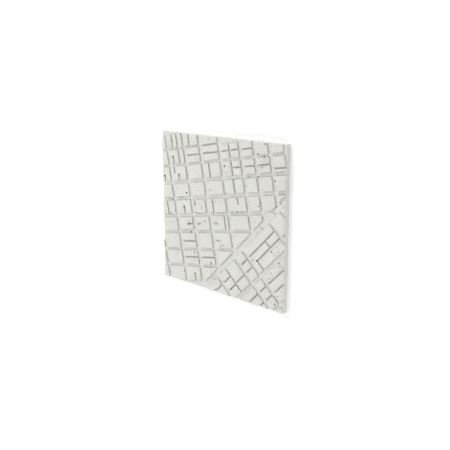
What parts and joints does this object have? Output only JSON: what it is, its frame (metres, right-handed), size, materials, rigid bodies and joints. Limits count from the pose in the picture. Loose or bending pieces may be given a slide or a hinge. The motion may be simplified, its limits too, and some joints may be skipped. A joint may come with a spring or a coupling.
{
  "type": "relief wall tile",
  "caption": "Square cast concrete wall tile with a flat back; its face carries a tilted street-grid relief of raised flat blocks, sunk streets, narrow slits and a diagonal avenue.",
  "frame": {"origin": "centre of the flat back face", "axes": "+Z out of the relief face; +X towards the tile's right edge and +Y towards its top edge, as the relief is seen in the picture"},
  "size_m": [0.6, 0.6, 0.025],
  "materials": {
    "concrete": "matt, smooth off the mould, with small air holes"
  },
  "bodies": {
    "root": {"cast_panel": "concrete"}
  },
  "joints": []
}
